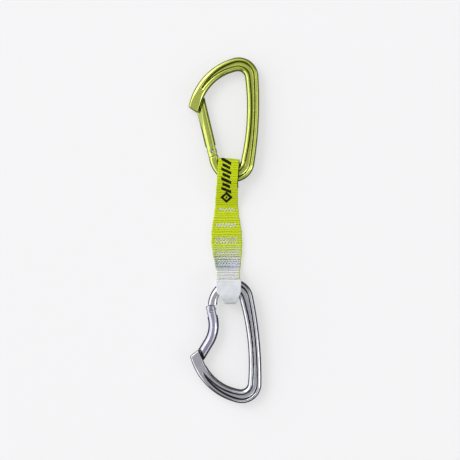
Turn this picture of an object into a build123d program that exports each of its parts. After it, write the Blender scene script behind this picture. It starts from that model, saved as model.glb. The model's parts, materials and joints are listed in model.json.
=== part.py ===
from build123d import *
from math import asin, cos, radians, sin, sqrt, tan
import os

# Climbing quickdraw lying flat: +Y runs along the sling towards the straight-gate carabiner,
# +X towards both spines, +Z up from the floor.  All sizes in mm.

# ---- carabiner body, drawn in its own frame: origin at the rod centre in the basket ----
ROD_THICK = 9.8
ROD_ROUND = 2.8
NOSE_OUTER = (-32.6, 56.2)
NOSE_INNER = (-25.8, 51.6)
NOSE_FLAT_DEG = 68.3
NOSE_FLAT_LONG = 14.2
ARM_HEADING = 78.9
ARM_ARC = (51.0, 63.2)
TOP_ARC = (15.8, 102.0)
SPINE_ARC = (323.6, 12.7)
HEEL_ARC = (16.8, 45.0)
BASKET_ARC = (17.3, 73.0)
HINGE_ARC = (23.8, 43.5)
IN_ARM_START = (-20.0, 64.8)
IN_ARM_HEADING = 64.3
IN_ARM_ARC = (37.3, 53.0)
IN_TOP_ARC = (5.6, 93.9)
IN_SPINE_ARC = (191.6, 20.4)
IN_BASKET_ARC = (9.6, 77.0)
IN_HINGE_ARC = (8.8, 85.0)
CHANNEL_DEEP = 2.3
CHANNEL_OUT = 3.0
CHANNEL_IN = 3.1
CHANNEL_TIP = (-22.0, 70.6)
CHANNEL_TIP_DEG = 62.0
CHANNEL_CAP = 0.95
CHANNEL_ENDS = (4.0, 40.0)
CHANNEL_ROUND = 0.7
FACET_LONG = 15.0
FACET_DEEP = 0.8

# ---- gate hinge, shared by both gates ----
PIVOT = (-13.8, 20.2)
CHORD_DEG = 103.3
STRAIGHT_DEG = 103.3
BENT_DEG = 80.0
GATE_R = 4.25
BENT_R = 4.15
BENT_STRAIGHT = 6.0
BENT_BEND = (26.0, 44.0)
SHOULDER_T = -4.6
HEEL_R = 4.6
HEEL_T = -3.6
TANG_THICK = 3.5
SLOT_WIDE = 4.1
SLOT_TOP = 4.4
CAM_R = 3.2
CAM_OFF = 1.0
CAM_DEG = 107.5
RIVET_R = 1.5
RIVET_GAP = 0.05
NOSE_GAP = 0.75
GATE_TIP = 13.8
BORE_R = 2.15
BORE_END = 14.4
KEY_GAP = 0.35
KEY_NECK = 2.6
STRAIGHT_KEY = (35.6, 38.6, 42.4, 2.0, 4.4)
BENT_KEY = (34.4, 36.8, 38.9, 0.9, 3.8)

# ---- spring and plunger ----
HEAD_R = 1.85
HEAD_LONG = 1.2
STEM_R = 1.2
STEM_LONG = 7.6
CAM_GAP = 0.15
WIRE_R = 0.27
COIL_R = 1.66
COIL_TURNS = 7.0

# ---- sling ----
SPAN = 87.3
LOWER_X = -1.6
LOWER_TURN = 2.9
WEB = 1.8
WEB_SLIT = 0.1
EYE_ROOM = 0.45
EYE_CORNER = 2.8
EYE_NEAR = -4.5
EYE_FAR = 12.7
FOOT_FAR = 10.2
EYE_ROOT = -24.0
FOOT_ROOT = -73.5
KEEPER_WALL = 1.2
KEEPER_GAP = 0.08
KEEPER_MOUTH = -82.7
KEEPER_END = -102.8
KEEPER_PLAN = [
    (-10.2, -82.7), (9.7, -82.7), (9.7, -92.6), (8.2, -98.4),
    (6.2, -103.0), (-5.0, -103.0), (-8.2, -97.6), (-10.2, -92.0),
]
ROD_PORT = 0.25
TACK_ROWS = [
    (-26.6, 13.4, -1.6, 2.2),
    (-39.2, 16.6, -2.2, 3.4),
    (-50.0, 18.6, -1.7, 2.0),
    (-52.9, 18.6, -1.7, 2.0),
    (-62.2, 18.2, -1.3, 2.0),
    (-65.6, 17.4, -1.0, 1.6),
    (-68.2, 16.6, -0.9, 1.6),
    (-70.8, 16.0, -0.8, 1.6),
]
TACK_HIGH = 0.45
TACK_POSTS = 6
TACK_POST_R = 0.4
WEB_LEFT = [
    (-8.1, 18.0), (-8.1, 11.0), (-9.2, 4.0), (-10.3, -7.4), (-10.9, -18.1), (-11.5, -26.0),
    (-13.1, -36.7), (-14.2, -46.0), (-14.0, -56.5), (-12.9, -64.0), (-10.9, -73.0), (-9.5, -81.0),
    (-8.6, -90.0), (-6.6, -97.0), (-5.4, -101.5),
]
WEB_RIGHT = [
    (9.0, 18.0), (8.7, 11.0), (8.0, 4.0), (7.5, -7.4), (7.2, -18.1), (7.5, -26.0),
    (9.0, -36.7), (10.3, -46.0), (10.7, -56.5), (10.3, -64.0), (9.3, -73.0), (8.5, -81.0),
    (7.6, -90.0), (6.0, -97.0), (4.6, -101.5),
]

os.makedirs("parts", exist_ok=True)


def unit(deg):
    return Vector(cos(radians(deg)), sin(radians(deg)))


def follow(line, arc):
    return JernArc(start=line @ 1, tangent=line % 1, radius=arc[0], arc_size=-arc[1])


def from_pivot(t, n, deg):
    along = unit(deg)
    across = unit(deg - 90)
    return (
        PIVOT[0] + along.X * t + across.X * n,
        PIVOT[1] + along.Y * t + across.Y * n,
    )


def flat_n(t):
    # across-gate position of the nose flat, at distance t along the chord from the pivot
    lean = radians(CHORD_DEG - NOSE_FLAT_DEG)
    dx = NOSE_INNER[0] - PIVOT[0]
    dy = NOSE_INNER[1] - PIVOT[1]
    along = unit(CHORD_DEG)
    across = unit(CHORD_DEG - 90)
    t0 = dx * along.X + dy * along.Y
    n0 = dx * across.X + dy * across.Y
    return n0 + (t - t0) * tan(lean)


def key_shape(key, grow, root):
    # the bulb and the neck of the keylock nose as two outlines in the carabiner's plane
    low, mid, top, side, wide = key
    bulb = [
        from_pivot(low - grow, flat_n(low) - root, CHORD_DEG),
        from_pivot(low - grow, side + grow, CHORD_DEG),
        from_pivot(mid + grow, side + grow, CHORD_DEG),
        from_pivot(mid + grow, flat_n(low) - root, CHORD_DEG),
    ]
    neck = [
        from_pivot(mid - 0.5, flat_n(mid) - root, CHORD_DEG),
        from_pivot(mid - 0.5, side + grow, CHORD_DEG),
        from_pivot(top + grow, side + grow, CHORD_DEG),
        from_pivot(top + grow, flat_n(mid) - root, CHORD_DEG),
    ]
    return (bulb, wide / 2 + grow), (neck, KEY_NECK / 2 + grow)


# ---------------- carabiner body ----------------

def body_outline(deg, shoulder_n, inner_rise):
    with BuildSketch() as outline:
        with BuildLine():
            arm = JernArc(
                start=NOSE_OUTER, tangent=unit(ARM_HEADING), radius=ARM_ARC[0], arc_size=-ARM_ARC[1]
            )
            top = follow(arm, TOP_ARC)
            spine = follow(top, SPINE_ARC)
            heel = follow(spine, HEEL_ARC)
            basket = follow(heel, BASKET_ARC)
            hinge = follow(basket, HINGE_ARC)
            seat = Polyline(
                hinge @ 1,
                from_pivot(SHOULDER_T, shoulder_n, deg),
                from_pivot(SHOULDER_T, 0, deg),
            )
            heel_n = sqrt(HEEL_R**2 - HEEL_T**2)
            mid_t = -HEEL_R * cos(radians(18))
            mid_n = HEEL_R * sin(radians(18))
            cup = ThreePointArc(
                seat @ 1,
                from_pivot(mid_t, mid_n, deg),
                from_pivot(HEEL_T, heel_n, deg),
            )
            in_arm = JernArc(
                start=IN_ARM_START, tangent=unit(IN_ARM_HEADING),
                radius=IN_ARM_ARC[0], arc_size=-IN_ARM_ARC[1],
            )
            in_top = follow(in_arm, IN_TOP_ARC)
            in_spine = follow(in_top, IN_SPINE_ARC)
            in_basket = follow(in_spine, IN_BASKET_ARC)
            in_hinge = follow(in_basket, IN_HINGE_ARC)
            in_wall = PolarLine(in_hinge @ 1, inner_rise, direction=in_hinge % 1)
            Line(cup @ 1, in_wall @ 1)
            flat_end = Vector(*NOSE_INNER) + unit(NOSE_FLAT_DEG) * NOSE_FLAT_LONG
            Polyline(IN_ARM_START, flat_end, NOSE_INNER, NOSE_OUTER)
        make_face()
    return outline


def channel_outline():
    with BuildSketch() as channel:
        with BuildLine():
            arm = JernArc(
                start=NOSE_OUTER, tangent=unit(ARM_HEADING), radius=ARM_ARC[0], arc_size=-ARM_ARC[1],
                mode=Mode.PRIVATE,
            )
            in_arm = JernArc(
                start=IN_ARM_START, tangent=unit(IN_ARM_HEADING),
                radius=IN_ARM_ARC[0], arc_size=-IN_ARM_ARC[1], mode=Mode.PRIVATE,
            )
            out_turn = (arm % 1).rotate(Axis.Z, -90)
            in_turn = (in_arm % 1).rotate(Axis.Z, 90)
            top = JernArc(
                start=arm @ 1 + out_turn * CHANNEL_OUT, tangent=arm % 1,
                radius=TOP_ARC[0] - CHANNEL_OUT, arc_size=-TOP_ARC[1],
            )
            spine = follow(top, (SPINE_ARC[0] - CHANNEL_OUT, SPINE_ARC[1]))
            heel = follow(spine, (HEEL_ARC[0] - CHANNEL_OUT, HEEL_ARC[1]))
            basket = follow(heel, (BASKET_ARC[0] - CHANNEL_OUT, BASKET_ARC[1]))
            hinge = follow(basket, (HINGE_ARC[0] - CHANNEL_OUT, CHANNEL_ENDS[0]))
            in_top = JernArc(
                start=in_arm @ 1 + in_turn * CHANNEL_IN, tangent=in_arm % 1,
                radius=IN_TOP_ARC[0] + CHANNEL_IN, arc_size=-IN_TOP_ARC[1],
            )
            in_spine = follow(in_top, (IN_SPINE_ARC[0] + CHANNEL_IN, IN_SPINE_ARC[1]))
            in_basket = follow(in_spine, (IN_BASKET_ARC[0] + CHANNEL_IN, IN_BASKET_ARC[1]))
            in_hinge = follow(in_basket, (IN_HINGE_ARC[0] + CHANNEL_IN, CHANNEL_ENDS[1]))
            side = unit(CHANNEL_TIP_DEG + 90) * CHANNEL_CAP
            tip_out = TangentArc(top @ 0, Vector(*CHANNEL_TIP) + side, tangent=-(top % 0))
            tip_in = TangentArc(in_top @ 0, Vector(*CHANNEL_TIP) - side, tangent=-(in_top % 0))
            TangentArc(tip_out @ 1, tip_in @ 1, tangent=tip_out % 1)
            TangentArc(hinge @ 1, in_hinge @ 1, tangent=hinge % 1)
        make_face()
    return channel


def channel_cutter(side):
    # one face's channel as a solid, rounded where its floor meets its walls
    channel = channel_outline()
    floor_z = side * (ROD_THICK / 2 - CHANNEL_DEEP)
    with BuildPart() as cutter:
        with BuildSketch(Plane.XY.offset(floor_z)):
            add(channel.sketch)
        extrude(amount=side * (CHANNEL_DEEP + 0.5))
        low = cutter.edges().filter_by(lambda e: abs(e.center().Z - floor_z) < 0.01)
        fillet(low, radius=CHANNEL_ROUND)
    return cutter


def facet_plane(side):
    # a shallow flat on the nose, deepest at its tip
    along = unit(62)
    start = Vector(NOSE_OUTER[0] + 3, NOSE_OUTER[1] - 3) + along * FACET_LONG
    slope = FACET_DEEP / FACET_LONG
    normal = Vector(-along.X * slope, -along.Y * slope, side)
    return Plane(
        origin=(start.X, start.Y, side * ROD_THICK / 2),
        x_dir=(along.X, along.Y, side * slope), z_dir=normal,
    )


def make_body(deg, shoulder_n, inner_rise, key):
    outline = body_outline(deg, shoulder_n, inner_rise)
    cutters = {side: channel_cutter(side) for side in (1, -1)}
    with BuildPart() as body:
        add(outline.sketch)
        extrude(amount=ROD_THICK / 2, both=True)
        rims = body.edges().filter_by(GeomType.CIRCLE).filter_by(lambda e: e.radius > 5)
        rims = rims.filter_by(lambda e: abs(abs(e.center().Z) - ROD_THICK / 2) < 0.01)
        fillet(rims, radius=ROD_ROUND)
        for side in (1, -1):
            add(cutters[side].part, mode=Mode.SUBTRACT)
            with BuildSketch(facet_plane(side)):
                Rectangle(60, 30)
            extrude(amount=3, mode=Mode.SUBTRACT)
        add_tang(deg, shoulder_n)
        add_key(key)
    return body


def add_tang(deg, shoulder_n):
    cam = from_pivot(CAM_OFF * cos(radians(CAM_DEG)), CAM_OFF * sin(radians(CAM_DEG)), deg)
    with BuildSketch() as tang:
        with Locations(cam):
            Circle(CAM_R)
        with BuildLine():
            Polyline(
                from_pivot(-6.2, max(shoulder_n, -2.2) + 0.6, deg),
                from_pivot(0, -2.0, deg),
                from_pivot(0, 3.6, deg),
                from_pivot(-5.2, 3.2, deg),
                close=True,
            )
        make_face()
        with Locations(PIVOT):
            Circle(RIVET_R, mode=Mode.SUBTRACT)
    extrude(tang.sketch, amount=TANG_THICK / 2, both=True)


def add_key(key):
    for points, half in key_shape(key, 0, 1.2):
        with BuildSketch() as key_face:
            with BuildLine():
                Polyline(*points, close=True)
            make_face()
        extrude(key_face.sketch, amount=half, both=True)


# ---------------- gates ----------------

def cut_hinge_end(deg, radius):
    # slot over the tang, rivet hole, spring bore and the rounded inner corner of the hinge end
    with BuildSketch() as slot:
        with BuildLine():
            Polyline(
                from_pivot(-9, -9, deg), from_pivot(-9, 9, deg),
                from_pivot(SLOT_TOP, 9, deg), from_pivot(SLOT_TOP, -9, deg),
                close=True,
            )
        make_face()
    extrude(slot.sketch, amount=SLOT_WIDE / 2, both=True, mode=Mode.SUBTRACT)
    with BuildSketch() as corner:
        with BuildLine():
            Polyline(
                from_pivot(0, 0, deg), from_pivot(0, 9, deg),
                from_pivot(-9, 9, deg), from_pivot(-9, 0, deg),
                close=True,
            )
        make_face()
        with Locations(PIVOT):
            Circle(radius, mode=Mode.SUBTRACT)
    extrude(corner.sketch, amount=8, both=True, mode=Mode.SUBTRACT)
    with BuildSketch() as hole:
        with Locations(PIVOT):
            Circle(RIVET_R + RIVET_GAP)
    extrude(hole.sketch, amount=8, both=True, mode=Mode.SUBTRACT)
    with BuildSketch(gate_plane(deg, SLOT_TOP - 0.5)) as bore:
        Circle(BORE_R)
    extrude(bore.sketch, amount=BORE_END - SLOT_TOP + 0.5, mode=Mode.SUBTRACT)


def gate_plane(deg, t):
    spot = from_pivot(t, 0, deg)
    across = unit(deg - 90)
    along = unit(deg)
    return Plane(
        origin=(spot[0], spot[1], 0), x_dir=(across.X, across.Y, 0), z_dir=(along.X, along.Y, 0)
    )


def cut_nose_end(key):
    # everything past the nose flat comes off, then the keylock pocket
    flat = unit(NOSE_FLAT_DEG)
    off = unit(NOSE_FLAT_DEG - 90) * NOSE_GAP
    low = Vector(*NOSE_INNER) + off - flat * 20
    high = Vector(*NOSE_INNER) + off + flat * 40
    left = unit(NOSE_FLAT_DEG + 90) * 30
    tip = Vector(*NOSE_INNER) + flat * GATE_TIP
    with BuildSketch() as past:
        with BuildLine():
            Polyline(low, high, high + left, low + left, close=True)
        make_face()
        with BuildLine():
            Polyline(tip + left, tip - left, high - left, high + left, close=True)
        make_face()
    extrude(past.sketch, amount=10, both=True, mode=Mode.SUBTRACT)
    for points, half in key_shape(key, KEY_GAP, 6):
        with BuildSketch() as pocket:
            with BuildLine():
                Polyline(*points, close=True)
            make_face()
        extrude(pocket.sketch, amount=half, both=True, mode=Mode.SUBTRACT)


def side_facet(side):
    # long leaf-shaped flat on the gate's outer shoulder, deeper towards the nose
    slope = 0.075
    along = unit(STRAIGHT_DEG)
    across = unit(STRAIGHT_DEG - 90)
    out = Vector(-across.X * 0.72, -across.Y * 0.72, side * 0.694)
    spot = Vector(*from_pivot(19, 0, STRAIGHT_DEG)) + out * GATE_R
    normal = out + Vector(along.X, along.Y) * slope
    run = Vector(along.X, along.Y) - out * slope
    return Plane(origin=spot, x_dir=run, z_dir=normal)


def make_straight_gate():
    with BuildPart() as gate:
        with BuildSketch(gate_plane(STRAIGHT_DEG, -GATE_R)):
            Circle(GATE_R)
        extrude(amount=60)
        cut_nose_end(STRAIGHT_KEY)
        cut_hinge_end(STRAIGHT_DEG, GATE_R)
        for side in (1, -1):
            with BuildSketch(side_facet(side)):
                Rectangle(80, 12)
            extrude(amount=4, mode=Mode.SUBTRACT)
    return gate


def make_bent_gate():
    with BuildPart() as gate:
        with BuildLine():
            start = from_pivot(-BENT_R, 0, BENT_DEG)
            shank = Line(start, from_pivot(BENT_STRAIGHT, 0, BENT_DEG))
            bend = JernArc(
                start=shank @ 1, tangent=shank % 1, radius=BENT_BEND[0], arc_size=BENT_BEND[1]
            )
            PolarLine(bend @ 1, 26, direction=bend % 1)
        with BuildSketch(gate_plane(BENT_DEG, -BENT_R)):
            Circle(BENT_R)
        sweep()
        cut_nose_end(BENT_KEY)
        cut_hinge_end(BENT_DEG, BENT_R)
    return gate


# ---------------- rivet, plunger, spring ----------------

def make_rivet(radius):
    half = radius - 0.05
    with BuildPart() as rivet:
        with BuildSketch(Plane.XY.offset(-half)):
            with Locations(PIVOT):
                Circle(RIVET_R)
        extrude(amount=2 * half)
        chamfer(rivet.edges(), length=0.25)
    return rivet


def cam_top(deg):
    return CAM_R + CAM_OFF * cos(radians(CAM_DEG))


def make_plunger(deg):
    base = cam_top(deg) + CAM_GAP
    with BuildPart() as plunger:
        with BuildSketch(gate_plane(deg, base)):
            Circle(HEAD_R)
        extrude(amount=HEAD_LONG)
        with BuildSketch(gate_plane(deg, base + HEAD_LONG)):
            Circle(STEM_R)
        extrude(amount=STEM_LONG)
    return plunger


def make_spring(deg):
    low = cam_top(deg) + CAM_GAP + HEAD_LONG + WIRE_R + 0.03
    high = BORE_END - WIRE_R - 0.03
    pitch = (high - low) / COIL_TURNS
    at = gate_plane(deg, low)
    with BuildPart() as spring:
        with BuildLine() as path:
            Helix(
                pitch=pitch, height=high - low, radius=COIL_R,
                center=at.origin, direction=at.z_dir,
            )
        with BuildSketch(Plane(origin=path.line @ 0, z_dir=path.line % 0)):
            Circle(WIRE_R)
        sweep(is_frenet=True)
    return spring


# ---------------- where each carabiner lies ----------------

EYE_Z = WEB + EYE_ROOM + ROD_THICK / 2
FOOT_Z = KEEPER_WALL + KEEPER_GAP + WEB + EYE_ROOM + ROD_THICK / 2
FAR_END = 92.8


def rest_tilt(height):
    return asin((height - ROD_THICK / 2) / FAR_END)


def upper_frame():
    a = rest_tilt(EYE_Z)
    return Plane(origin=(0, 0, EYE_Z), x_dir=(1, 0, 0), z_dir=(0, sin(a), cos(a)))


def lower_frame():
    a = rest_tilt(FOOT_Z)
    turn = radians(LOWER_TURN)
    x_dir = (cos(turn), sin(turn), 0)
    z_dir = (-sin(turn) * sin(a), cos(turn) * sin(a), -cos(a))
    return Plane(origin=(LOWER_X, -SPAN, FOOT_Z), x_dir=x_dir, z_dir=z_dir)


# ---------------- sling ----------------

def eye_hull(centre, far, root, grow):
    # side outline of one eye, x along the sling and y up: room for the curved basket at both edges
    y, z, way = centre
    half = ROD_THICK / 2 + EYE_ROOM - EYE_CORNER
    near_y = y + way * (EYE_NEAR + EYE_CORNER)
    far_y = y + way * (far - EYE_CORNER)
    top = WEB + WEB_SLIT + grow
    low = max(0, WEB - grow)
    with BuildSketch() as hull:
        with Locations((near_y, z - half), (near_y, z + half), (far_y, z - half), (far_y, z + half)):
            Circle(EYE_CORNER + grow)
        with Locations((root, (top + low) / 2)):
            Rectangle(0.4, top - low)
        make_hull()
    return hull


def sling_profile(grow):
    upper = eye_hull((0, EYE_Z, 1), EYE_FAR, EYE_ROOT, grow)
    lower = eye_hull((-SPAN, FOOT_Z, -1), FOOT_FAR, FOOT_ROOT, grow)
    two = 2 * WEB + WEB_SLIT
    with BuildSketch() as profile:
        add(upper.sketch)
        add(lower.sketch)
        with Locations(((EYE_ROOT + FOOT_ROOT) / 2, two / 2)):
            Rectangle(EYE_ROOT - FOOT_ROOT, WEB_SLIT + 2 * grow)
    return profile


def web_plan(grow):
    with BuildSketch() as plan:
        with BuildLine():
            left = Spline(*[(x - grow, y) for x, y in WEB_LEFT])
            right = Spline(*[(x + grow, y) for x, y in WEB_RIGHT])
            Line(left @ 0, right @ 0)
            Line(left @ 1, right @ 1)
        make_face()
    return plan


def tack_spots(row):
    y, wide, x, deep = row
    step = (wide - 2.0) / (TACK_POSTS - 1)
    return [(x - wide / 2 + 1.0 + step * i, y) for i in range(TACK_POSTS)]


def make_webbing():
    outer = sling_profile(WEB)
    inner = sling_profile(0)
    plan = web_plan(0)
    with BuildPart() as webbing:
        with BuildSketch(Plane.YZ):
            add(outer.sketch)
        extrude(amount=20, both=True)
        with BuildSketch(Plane.YZ):
            add(inner.sketch)
        extrude(amount=20, both=True, mode=Mode.SUBTRACT)
        with BuildSketch(Plane.XY.offset(-5)):
            add(plan.sketch)
        extrude(amount=30, mode=Mode.INTERSECT)
        with BuildSketch(Plane.XY.offset(-5)):
            for row in TACK_ROWS:
                with Locations(*tack_spots(row)):
                    Circle(TACK_POST_R)
        extrude(amount=30, mode=Mode.SUBTRACT)
    return webbing


def make_tack(row):
    # a row of stitching: a thread pad on top, joined to threads that run through both layers
    y, wide, x, deep = row
    two = 2 * WEB + WEB_SLIT
    with BuildPart() as tack:
        with BuildSketch(Plane.XY.offset(two)):
            with Locations((x, y)):
                RectangleRounded(wide, deep, 0.6)
        extrude(amount=TACK_HIGH)
        with BuildSketch():
            with Locations(*tack_spots(row)):
                Circle(TACK_POST_R)
        extrude(amount=two)
    return tack


def keeper_profile():
    body = eye_hull((-SPAN, FOOT_Z, -1), FOOT_FAR, FOOT_ROOT, WEB + KEEPER_GAP + KEEPER_WALL)
    radius = EYE_CORNER + WEB + KEEPER_GAP + KEEPER_WALL
    with BuildSketch() as profile:
        add(body.sketch)
        with Locations((KEEPER_END + radius, radius), (KEEPER_END + radius, 2 * FOOT_Z - radius - 1.5)):
            Circle(radius)
        make_hull()
    return profile


def make_keeper():
    profile = keeper_profile()
    room = eye_hull((-SPAN, FOOT_Z, -1), FOOT_FAR, FOOT_ROOT, WEB + KEEPER_GAP)
    plan = web_plan(KEEPER_GAP)
    outline = body_outline(BENT_DEG, -1.5, 2.0)
    with BuildPart() as pocket:
        with BuildSketch(Plane.YZ):
            add(room.sketch)
        extrude(amount=20, both=True)
        with BuildSketch(Plane.XY.offset(-5)):
            add(plan.sketch)
        extrude(amount=30, mode=Mode.INTERSECT)
    with BuildPart() as port:
        with BuildSketch():
            add(outline.sketch)
            Rectangle(26, 50, mode=Mode.INTERSECT)
            offset(amount=ROD_PORT)
        extrude(amount=ROD_THICK / 2 + ROD_PORT, both=True)
    with BuildPart() as keeper:
        with BuildSketch(Plane.YZ):
            add(profile.sketch)
        extrude(amount=20, both=True)
        with BuildSketch(Plane.XY.offset(-5)):
            with BuildLine():
                Polyline(*KEEPER_PLAN, close=True)
            make_face()
            fillet(vertices().sort_by(Axis.Y)[:6], radius=2.5)
        extrude(amount=30, mode=Mode.INTERSECT)
        add(pocket.part, mode=Mode.SUBTRACT)
        add(port.part.moved(lower_frame().location), mode=Mode.SUBTRACT)
    return keeper


# ---------------- pieces ----------------

def placed(blank, frame):
    with BuildPart() as piece:
        add(blank.part.moved(frame.location))
    return piece


def save(piece, name):
    piece.part.position = piece.part.position + SHIFT
    piece.part.label = name
    export_step(piece.part, "parts/" + name + ".step")


upper_body = placed(make_body(STRAIGHT_DEG, -3.3, 4.3, STRAIGHT_KEY), upper_frame())
upper_gate = placed(make_straight_gate(), upper_frame())
upper_rivet = placed(make_rivet(GATE_R), upper_frame())
upper_plunger = placed(make_plunger(STRAIGHT_DEG), upper_frame())
upper_spring = placed(make_spring(STRAIGHT_DEG), upper_frame())
lower_body = placed(make_body(BENT_DEG, -1.5, 2.0, BENT_KEY), lower_frame())
lower_gate = placed(make_bent_gate(), lower_frame())
lower_rivet = placed(make_rivet(BENT_R), lower_frame())
lower_plunger = placed(make_plunger(BENT_DEG), lower_frame())
lower_spring = placed(make_spring(BENT_DEG), lower_frame())
webbing = make_webbing()
keeper = make_keeper()

whole = upper_body.part.bounding_box().add(lower_body.part.bounding_box())
whole = whole.add(upper_gate.part.bounding_box()).add(lower_gate.part.bounding_box())
whole = whole.add(webbing.part.bounding_box()).add(keeper.part.bounding_box())
SHIFT = Vector(-whole.center().X, -whole.center().Y, -whole.min.Z)

save(upper_body, "upper_body")
save(upper_gate, "upper_gate")
save(upper_rivet, "upper_rivet")
save(upper_plunger, "upper_plunger")
save(upper_spring, "upper_spring")
save(lower_body, "lower_body")
save(lower_gate, "lower_gate")
save(lower_rivet, "lower_rivet")
save(lower_plunger, "lower_plunger")
save(lower_spring, "lower_spring")
save(webbing, "webbing")
save(keeper, "keeper")
for number, row in enumerate(TACK_ROWS, 1):
    save(make_tack(row), "bar_tack_" + str(number))
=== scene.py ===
import json
import math
import bmesh
import bpy
import numpy as np
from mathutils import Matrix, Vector


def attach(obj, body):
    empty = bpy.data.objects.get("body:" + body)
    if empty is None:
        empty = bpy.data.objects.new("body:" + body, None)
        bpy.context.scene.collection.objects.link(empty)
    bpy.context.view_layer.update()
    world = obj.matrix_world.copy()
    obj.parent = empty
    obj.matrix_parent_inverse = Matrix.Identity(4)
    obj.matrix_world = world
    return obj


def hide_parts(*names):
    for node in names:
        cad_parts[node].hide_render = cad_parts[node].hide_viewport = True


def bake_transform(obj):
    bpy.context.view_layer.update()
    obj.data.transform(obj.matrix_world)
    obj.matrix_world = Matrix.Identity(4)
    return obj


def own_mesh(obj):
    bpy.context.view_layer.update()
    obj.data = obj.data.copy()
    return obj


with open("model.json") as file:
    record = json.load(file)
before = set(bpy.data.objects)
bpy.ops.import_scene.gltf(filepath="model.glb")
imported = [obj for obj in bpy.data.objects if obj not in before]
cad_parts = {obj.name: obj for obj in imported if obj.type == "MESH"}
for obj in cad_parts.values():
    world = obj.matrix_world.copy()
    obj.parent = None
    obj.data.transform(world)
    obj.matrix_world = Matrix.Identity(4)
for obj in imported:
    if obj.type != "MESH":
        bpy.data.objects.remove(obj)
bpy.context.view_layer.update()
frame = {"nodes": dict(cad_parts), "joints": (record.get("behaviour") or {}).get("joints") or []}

NODES = frame["nodes"]
MM = 0.001

# ---------------------------------------------------------------- camera
# The object lies flat and the camera looks straight down, +Y up in the picture.
CAM_HIGH = 1.35
SEEN_WIDE = 0.371
OBJECT_HIGH = 0.007

camera = bpy.data.objects.new("camera", bpy.data.cameras.new("camera"))
camera.location = (0.0040, 0.00025, CAM_HIGH)
camera.data.sensor_width = 36
camera.data.lens = 36 * (CAM_HIGH - OBJECT_HIGH) / SEEN_WIDE
camera.data.clip_start = 0.01
bpy.context.scene.collection.objects.link(camera)
bpy.context.scene.camera = camera
bpy.context.scene.view_settings.view_transform = "Standard"

# ---------------------------------------------------------------- sizes, in mm, along the sling
# The sling's own frame has its origin under the rod in the upper eye; SHIFT takes it to the row frame.
# SHIFT is what part.py works out when it centres the model.  SPAN, LOWER_X and LOWER_TURN are the rounded
# results of the fit named below.
SHIFT = np.array([3.19856, 43.3927, 0.0163])
EYE_Z = 7.15
FOOT_Z = 8.43
SPAN = 87.3
LOWER_X = -1.6
LOWER_TURN = 2.9
WEB = 1.8
HALF = WEB / 2
LAYER_GAP = 0.1
TOP_MID = WEB * 1.5 + LAYER_GAP
ROD_HALF_THICK = 4.9
FAR_END = 92.8
EYE_CORNER = 2.8
EYE_NEAR = 4.5
EYE_ROOM = 0.45
EYE_FAR, FOOT_FAR = 12.7, 10.2
EYE_ROOT, FOOT_ROOT = -24.0, -73.5
ROD_HALF = ROD_HALF_THICK + EYE_ROOM - EYE_CORNER
CUT_Y = -50.0
MESH_ALONG = 0.31
MESH_ACROSS = 58
CORNER_SOFT = 0.8
PICK = 0.94
WARP = 0.62
# each row of stitching: y, width, x of its middle, depth along the sling
TACK_ROWS = [
    (-26.6, 13.4, -1.6, 2.2), (-39.2, 16.6, -2.2, 3.4), (-50.0, 18.6, -1.7, 2.7), (-52.9, 18.6, -1.7, 2.7),
    (-62.2, 18.2, -1.3, 2.0), (-65.6, 17.4, -1.0, 1.6), (-68.2, 16.6, -0.9, 1.6), (-70.8, 16.0, -0.8, 1.6),
]
STITCH_PITCH = 1.12
# y, left and right edge of the tape: narrow in both eyes, widest at the third and fourth rows of stitching
EDGES = [
    (-101.5, -4.2, 4.6), (-90, -8.0, 7.6), (-73, -10.9, 9.3), (-56.5, -14.0, 10.7), (-46, -14.2, 10.3),
    (-26, -11.5, 7.5), (-18, -10.9, 7.2), (4, -9.2, 8.0), (18, -8.1, 9.0),
]

# ---------------------------------------------------------------- sizes of a carabiner, in its own frame
# Outer and inner outline, each a chain of right-hand arcs (radius, sweep) that starts at the nose.
# Start points, headings and arcs are the rounded results of a least-squares fit, a few of them nudged.
# NOSE_INNER, the nose angles, the last two INNER_ARCS and the last sweep of OUTER_ARCS were chosen.
NOSE_OUTER = (-32.6, 56.2)
NOSE_INNER = (-25.8, 51.6)
NOSE_FACE_DEG = 68.3
NOSE_OUT_DEG = -21.7
ARM_HEADING = 78.9
ARM_ARC = (51.0, 63.2)
OUTER_ARCS = [(15.8, 102.0), (323.6, 12.7), (16.8, 45.0), (17.3, 73.0), (23.8, 6.0)]
IN_ARM_START = (-20.0, 64.8)
IN_ARM_HEADING = 64.3
IN_ARM_ARC = (37.3, 53.0)
INNER_ARCS = [(5.6, 93.9), (191.6, 20.4), (9.6, 77.0), (8.8, 42.0)]
CHANNEL_OUT = 3.0
CHANNEL_IN = 3.1
CHANNEL_TIP = np.array([-22.0, 70.6])
CHANNEL_TIP_ACROSS = 152
CHANNEL_TIP_HALF = 0.6
CHANNEL_DEEP = 2.5
CHANNEL_LIP = (-0.45, 1.15)
PIVOT = (-13.8, 20.2)
RIVET_SIDES = 40
# a rivet's peened head: radius, and how far below the highest point
RIVET_HEAD = [
    (0.0, 0.42), (0.34, 0.40), (0.52, 0.26), (0.66, 0.06), (0.86, 0.0), (1.14, 0.05), (1.36, 0.19),
    (1.48, 0.42), (1.5, 0.8),
]
rng = np.random.default_rng(7)


def row(points):
    """Sling coordinates in mm to the row frame in metres."""
    return (np.asarray(points, float) + SHIFT) * MM


def smooth_step(x, a, b):
    t = np.clip((np.asarray(x, float) - a) / (b - a), 0, 1)
    return t * t * (3 - 2 * t)


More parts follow.
